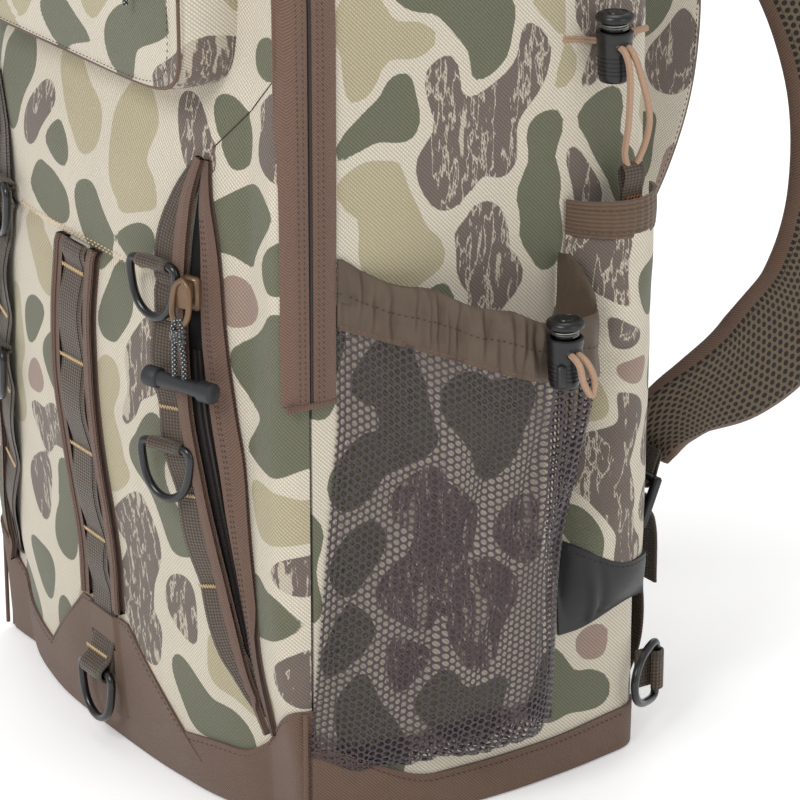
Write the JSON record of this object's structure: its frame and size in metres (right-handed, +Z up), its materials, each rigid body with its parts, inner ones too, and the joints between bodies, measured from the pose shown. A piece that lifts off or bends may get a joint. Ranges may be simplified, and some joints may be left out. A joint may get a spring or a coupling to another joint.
{
  "type": "tackle backpack",
  "caption": "Soft upright backpack for fishing tackle with a fold-down front, side mesh pockets, rod sleeves with bungees, webbing chains with D-rings and padded straps.",
  "frame": {"origin": "middle of the width on the flat bottom face, in line with the middle of the depth of the main body", "axes": "+Z up, -Y towards the front of the bag, +Y towards the wearer, +X towards the right-hand side seen from the front"},
  "size_m": [0.4224, 0.4453, 0.517],
  "materials": {
    "camo": "matt woven polyester with a tan, olive and brown camouflage print",
    "brown": "matt ribbed brown polyester",
    "webbing": "matt dark olive webbing with tan bar tacks",
    "zip": "matt herringbone zip tape",
    "mesh": "matt open mesh",
    "taffeta": "slightly glossy brown taffeta",
    "guard": "matt black rubberised fabric",
    "plastic": "satin black moulded plastic",
    "ring": "glossy black",
    "cord": "matt tan elastic cord",
    "padding": "brown spacer mesh",
    "elastic": "ribbed brown elastic"
  },
  "bodies": {
    "pack": {"main_shell": "camo", "lower_front_pocket": "camo", "front_fold": "camo", "rod_sleeve_right": "camo", "rod_sleeve_left": "camo", "base_boot": "brown", "chain_patch": "brown", "center_chain": "webbing", "grab_handle": "webbing", "side_chain_right": "webbing", "side_chain_left": "webbing", "corner_ring_tab_right": "webbing", "corner_ring_tab_left": "webbing", "bungee_end_tab_right": "webbing", "bungee_end_tab_left": "webbing", "strap_webbing_right": "webbing", "strap_webbing_left": "webbing", "main_zip_rear_tape": "zip", "front_zip_right": "zip", "front_zip_left": "zip", "mesh_pocket_right": "mesh", "mesh_pocket_left": "mesh", "mesh_collar_right": "taffeta", "mesh_collar_left": "taffeta", "rod_tip_guard_right": "guard", "rod_tip_guard_left": "guard", "bungee_lock_barrel_right": "plastic", "bungee_lock_barrel_left": "plastic", "collar_lock_barrel_right": "plastic", "collar_lock_barrel_left": "plastic", "ladder_lock_right": "plastic", "ladder_lock_left": "plastic", "bungee_right": "cord", "bungee_left": "cord", "collar_drawcord_right": "cord", "collar_drawcord_left": "cord", "back_pad": "padding", "shoulder_strap_right": "padding", "shoulder_strap_left": "padding", "rod_sleeve_elastic_right": "elastic", "rod_sleeve_elastic_left": "elastic"},
    "front_door": {"door_shell": "camo", "upper_pocket": "camo", "upper_pocket_zip": "zip", "main_zip_front_tape": "zip"},
    "ring_side_upper_right": {"ring_side_upper_right": "ring"},
    "ring_side_lower_right": {"ring_side_lower_right": "ring"},
    "ring_side_upper_left": {"ring_side_upper_left": "ring"},
    "ring_side_lower_left": {"ring_side_lower_left": "ring"},
    "ring_center": {"ring_center": "ring"},
    "ring_corner_right": {"ring_corner_right": "ring"},
    "ring_corner_left": {"ring_corner_left": "ring"},
    "bungee_button_right": {"bungee_lock_button_right": "plastic"},
    "collar_button_right": {"collar_lock_button_right": "plastic"},
    "bungee_button_left": {"bungee_lock_button_left": "plastic"},
    "collar_button_left": {"collar_lock_button_left": "plastic"},
    "front_slider_right": {"front_zip_slider_right": "plastic"},
    "main_slider_right": {"main_zip_slider_right": "plastic"},
    "front_slider_left": {"front_zip_slider_left": "plastic"},
    "main_slider_left": {"main_zip_slider_left": "plastic"}
  },
  "joints": [
    {"name": "front_door_fold", "type": "hinge", "parent": "pack", "child": "front_door", "pos_m": [0, -0.094, 0.219], "axis": [1, 0, 0], "range_deg": [0, 30], "deforming": ["front_fold", "center_chain", "side_chain_right", "side_chain_left", "front_zip_right", "front_zip_left"]},
    {"name": "ring_side_upper_right_swing", "type": "hinge", "parent": "front_door", "child": "ring_side_upper_right", "pos_m": [0.0746, -0.13296, 0.273], "axis": [-0.9723, -0.2338, 0], "range_deg": [0, 90]},
    {"name": "ring_side_lower_right_swing", "type": "hinge", "parent": "pack", "child": "ring_side_lower_right", "pos_m": [0.0826, -0.13288, 0.186], "axis": [-0.948, -0.3182, 0], "range_deg": [0, 90]},
    {"name": "ring_side_upper_left_swing", "type": "hinge", "parent": "front_door", "child": "ring_side_upper_left", "pos_m": [-0.0746, -0.13296, 0.273], "axis": [-0.9723, 0.2338, 0], "range_deg": [0, 90]},
    {"name": "ring_side_lower_left_swing", "type": "hinge", "parent": "pack", "child": "ring_side_lower_left", "pos_m": [-0.0826, -0.13288, 0.186], "axis": [-0.948, 0.3182, 0], "range_deg": [0, 90]},
    {"name": "ring_center_swing", "type": "hinge", "parent": "pack", "child": "ring_center", "pos_m": [0, -0.12796, 0.04], "axis": [-1, 0, 0], "range_deg": [0, 90]},
    {"name": "ring_corner_right_swing", "type": "hinge", "parent": "pack", "child": "ring_corner_right", "pos_m": [0.145, 0.108, 0.036], "axis": [0, 0, 1], "range_deg": [0, 70]},
    {"name": "ring_corner_left_swing", "type": "hinge", "parent": "pack", "child": "ring_corner_left", "pos_m": [-0.145, 0.108, 0.036], "axis": [0, 0, 1], "range_deg": [-70, 0]},
    {"name": "bungee_button_right_press", "type": "slide", "parent": "pack", "child": "bungee_button_right", "axis": [0, 0, -1], "range_m": [0, 0.004], "stiffness_N_per_m": 300},
    {"name": "collar_button_right_press", "type": "slide", "parent": "pack", "child": "collar_button_right", "axis": [0, 0, -1], "range_m": [0, 0.004], "stiffness_N_per_m": 300},
    {"name": "bungee_button_left_press", "type": "slide", "parent": "pack", "child": "bungee_button_left", "axis": [0, 0, -1], "range_m": [0, 0.004], "stiffness_N_per_m": 300},
    {"name": "collar_button_left_press", "type": "slide", "parent": "pack", "child": "collar_button_left", "axis": [0, 0, -1], "range_m": [0, 0.004], "stiffness_N_per_m": 300},
    {"name": "front_slider_right_travel", "type": "slide", "parent": "front_door", "child": "front_slider_right", "axis": [0.0621, 0.0353, 0.9974], "range_m": [0, 0.015]},
    {"name": "main_slider_right_travel", "type": "slide", "parent": "pack", "child": "main_slider_right", "axis": [1, 0, 0], "range_m": [0, 0.03]},
    {"name": "front_slider_left_travel", "type": "slide", "parent": "front_door", "child": "front_slider_left", "axis": [-0.0621, 0.0353, 0.9974], "range_m": [0, 0.015]},
    {"name": "main_slider_left_travel", "type": "slide", "parent": "pack", "child": "main_slider_left", "axis": [-1, 0, 0], "range_m": [0, 0.03]}
  ]
}
